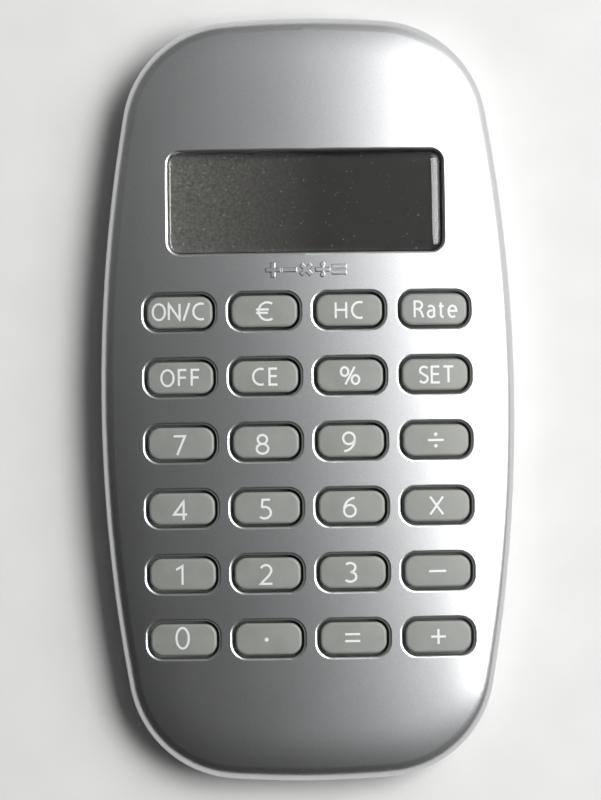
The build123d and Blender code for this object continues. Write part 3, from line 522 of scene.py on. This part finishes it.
# How far the print sits off the centre of its key, in mm to the right and up.
LEGEND_SHIFT = {
    "ON/C": (-0.21, 0.13), "Rate": (0.28, 0.0), "SET": (0.28, 0.0),
    "7": (-0.29, -0.35), "8": (-0.58, -0.33), "9": (-0.33, -0.12),
    "4": (-0.25, -0.30), "5": (-0.20, -0.20), "6": (-0.33, -0.08),
    "1": (-0.58, -0.16), "2": (-0.20, -0.16), "3": (-0.29, 0.0),
    "0": (-0.19, 0.28), "·": (-0.33, 0.12), "=": (-0.16, 0.05),
}
LEGENDS = {
    "key_on_clear": ("ON/C", WORD_HEIGHT), "key_euro": ("€", 3.25 * MM),
    "key_home_currency": ("HC", WORD_HEIGHT), "key_rate": ("Rate", WORD_HEIGHT),
    "key_off": ("OFF", WORD_HEIGHT), "key_clear_entry": ("CE", WORD_HEIGHT),
    "key_percent": ("%", 3.1 * MM), "key_set": ("SET", WORD_HEIGHT),
    "key_divide": ("÷", SIGN_HEIGHT), "key_multiply": ("X", 3.25 * MM),
    "key_minus": ("-", SIGN_HEIGHT), "key_plus": ("+", SIGN_HEIGHT),
    "key_equals": ("=", SIGN_HEIGHT), "key_point": ("·", SIGN_HEIGHT),
}
for digit in range(10):
    LEGENDS[f"key_{digit}"] = (str(digit), DIGIT_HEIGHT if digit else ZERO_HEIGHT)


def key_surface(node):
    """A function that gives the height of a key's face at a place in plan."""
    mesh = NODES[node].data
    tree = BVHTree.FromPolygons([v.co for v in mesh.vertices], [p.vertices for p in mesh.polygons])
    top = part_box(node)[1].z + MM

    def height(x, y):
        hit = tree.ray_cast(Vector((x, y, top)), Vector((0, 0, -1)))
        return hit[0].z
    return height


def evened(points, step):
    """A line of points with no gap longer than step."""
    line = [points[0]]
    for end in points[1:]:
        start = line[-1]
        parts = max(1, math.ceil(math.dist(start, end) / step))
        line += [tuple(a + (b - a) * i / parts for a, b in zip(start, end))
                 for i in range(1, parts + 1)]
    return line


def stroke_sides(line, half):
    """The left and right sides of a stroke of constant width, mitred at its corners."""
    closed = math.dist(line[0], line[-1]) < half * 0.2
    left = []
    right = []
    for i, (x, y) in enumerate(line):
        before = line[i - 1] if i else (line[-2] if closed else line[0])
        after = line[i + 1] if i + 1 < len(line) else (line[1] if closed else line[-1])
        into = Vector((x - before[0], y - before[1]))
        out = Vector((after[0] - x, after[1] - y))
        into = into.normalized() if into.length > 0 else out.normalized()
        out = out.normalized() if out.length > 0 else into
        middle = (into + out).normalized() if (into + out).length > 0.1 else out
        reach = half / max(0.42, middle.dot(out))
        left.append((x - middle.y * reach, y + middle.x * reach))
        right.append((x + middle.y * reach, y - middle.x * reach))
    return left, right


def add_ribbon(mesh, left, right, height, rise):
    """A closed strip of ink between two sides, laid on a surface."""
    rows = []
    for a, b in zip(left, right):
        za = height(*a)
        zb = height(*b)
        rows.append([mesh.verts.new(spot) for spot in (
            (*a, za + rise), (*b, zb + rise), (*b, zb - INK_DEPTH), (*a, za - INK_DEPTH))])
    for one, two in zip(rows, rows[1:]):
        for k in range(4):
            n = (k + 1) % 4
            mesh.faces.new((one[k], two[k], two[n], one[n]))
    mesh.faces.new(rows[0])
    mesh.faces.new(list(reversed(rows[-1])))


def add_dot(mesh, x, y, radius, height, rise, count=20):
    """A closed round spot of ink, laid on a surface."""
    top = []
    low = []
    for i in range(count):
        angle = 2 * math.pi * i / count
        px = x + radius * math.cos(angle)
        py = y + radius * math.sin(angle)
        z = height(px, py)
        top.append(mesh.verts.new((px, py, z + rise)))
        low.append(mesh.verts.new((px, py, z - INK_DEPTH)))
    mesh.faces.new(top)
    mesh.faces.new(list(reversed(low)))
    for i in range(count):
        n = (i + 1) % count
        mesh.faces.new((top[i], low[i], low[n], top[n]))


def make_legend(node, word, tall):
    """The ink print on one key, centred on its face."""
    low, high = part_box(node)
    shift_x, shift_y = LEGEND_SHIFT.get(word, (0, 0))
    centre_x = (low.x + high.x) / 2 + shift_x * MM
    centre_y = (low.y + high.y) / 2 + shift_y * MM
    height = key_surface(node)
    half = LEGEND_STROKE / 2
    scale = tall - LEGEND_STROKE
    gap = LETTER_GAP.get(word, 0.20) * tall
    advance = [GLYPHS[letter][0] * scale + LEGEND_STROKE for letter in word]
    x = centre_x - (sum(advance) + gap * (len(word) - 1)) / 2 + half
    base = centre_y - scale / 2
    mesh = bmesh.new()
    layer = 0
    for letter, step in zip(word, advance):
        for points in GLYPHS[letter][1]:
            line = evened([(x + px * scale, base + py * scale) for px, py in points], 0.3 * MM)
            left, right = stroke_sides(line, half)
            add_ribbon(mesh, left, right, height, INK_RISE + layer * 0.001 * MM)
            layer += 1
        for px, py, radius in DOTS.get(letter, []):
            add_dot(mesh, x + px * scale, base + py * scale, radius, height, INK_RISE)
        x += step + gap
    bmesh.ops.recalc_face_normals(mesh, faces=mesh.faces)
    data = bpy.data.meshes.new(f"legend_{node}")
    mesh.to_mesh(data)
    mesh.free()
    data.materials.append(SLOT_MATERIALS["legend_ink"])
    piece = bpy.data.objects.new(f"legend_{node}", data)
    bpy.context.scene.collection.objects.link(piece)
    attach(piece, node)
    return piece


# ================================================================ floor, light and camera
def make_floor():
    """A plain pale sheet under the object."""
    mesh = bpy.data.meshes.new("floor")
    corners = [(sx * FLOOR_HALF, sy * FLOOR_HALF, 0) for sx, sy in ((-1, -1), (1, -1), (1, 1), (-1, 1))]
    mesh.from_pydata(corners, [], [(0, 1, 2, 3)])
    floor = bpy.data.objects.new("floor", mesh)
    bpy.context.scene.collection.objects.link(floor)
    mesh.materials.append(finish_material("floor_paper", ((0.59, 0.59, 0.582), (0.62, 0.62, 0.612)), 90,
                                          (0.8, 0.9), (0.05, 0.05 * MM)))


def area_light(name, location, size, power):
    """A soft rectangular lamp aimed at the object."""
    data = bpy.data.lights.new(name, "AREA")
    data.shape = "RECTANGLE"
    data.size, data.size_y = size
    data.energy = power
    lamp = bpy.data.objects.new(name, data)
    lamp.location = location
    lamp.rotation_euler = (-Vector(location)).to_track_quat("-Z", "Y").to_euler()
    bpy.context.scene.collection.objects.link(lamp)


def make_room():
    """Room light that rises from the dark left side to the bright right side."""
    world = bpy.data.worlds.new("room")
    bpy.context.scene.world = world
    world.use_nodes = True
    tree = world.node_tree
    tree.nodes.clear()
    output = tree.nodes.new("ShaderNodeOutputWorld")
    background = tree.nodes.new("ShaderNodeBackground")
    place = tree.nodes.new("ShaderNodeTexCoord")
    split = tree.nodes.new("ShaderNodeSeparateXYZ")
    tree.links.new(place.outputs["Generated"], split.inputs["Vector"])
    across = ramp(tree, split.outputs["X"], *ROOM_ACROSS)
    along = ramp(tree, split.outputs["Y"], *ROOM_ALONG)
    strength = tree.nodes.new("ShaderNodeMath")
    strength.operation = "MULTIPLY"
    tree.links.new(across, strength.inputs[0])
    tree.links.new(along, strength.inputs[1])
    tree.links.new(strength.outputs["Value"], background.inputs["Strength"])
    background.inputs["Color"].default_value = (1, 1, 1, 1)
    tree.links.new(background.outputs["Background"], output.inputs["Surface"])


def make_camera():
    """Camera almost straight above, as the object is seen: a little from its lower end, slightly turned."""
    data = bpy.data.cameras.new("camera")
    camera = bpy.data.objects.new("camera", data)
    bpy.context.scene.collection.objects.link(camera)
    data.sensor_width = 36.0
    data.lens = CAMERA_DISTANCE / VIEW_HEIGHT * data.sensor_width
    turn = math.radians(CAMERA_TURN)
    right = Vector((math.cos(turn), -math.sin(turn), 0))
    tilt = math.radians(90 - CAMERA_ELEVATION)
    back = Vector((0, -math.sin(tilt), math.cos(tilt)))
    right = (right - back * right.dot(back)).normalized()
    up = back.cross(right)
    aim = Vector((0, 0, OUTLINE_HEIGHT)) - right * AIM_RIGHT - up * AIM_UP
    camera.matrix_world = Matrix.Translation(aim + back * CAMERA_DISTANCE) @ Matrix(
        (right, up, back)).transposed().to_4x4()
    data.clip_start = 0.01
    bpy.context.scene.camera = camera


dress_cad_nodes()
make_cover_shell()
make_window_lens()
make_sign_bevels()
for key, (text, size) in LEGENDS.items():
    make_legend(key, text, size)
make_floor()
make_room()
for lamp_name, (lamp_place, lamp_size, lamp_power) in LAMPS.items():
    area_light(lamp_name, lamp_place, lamp_size, lamp_power)
make_camera()
bpy.context.scene.view_settings.view_transform = "Standard"
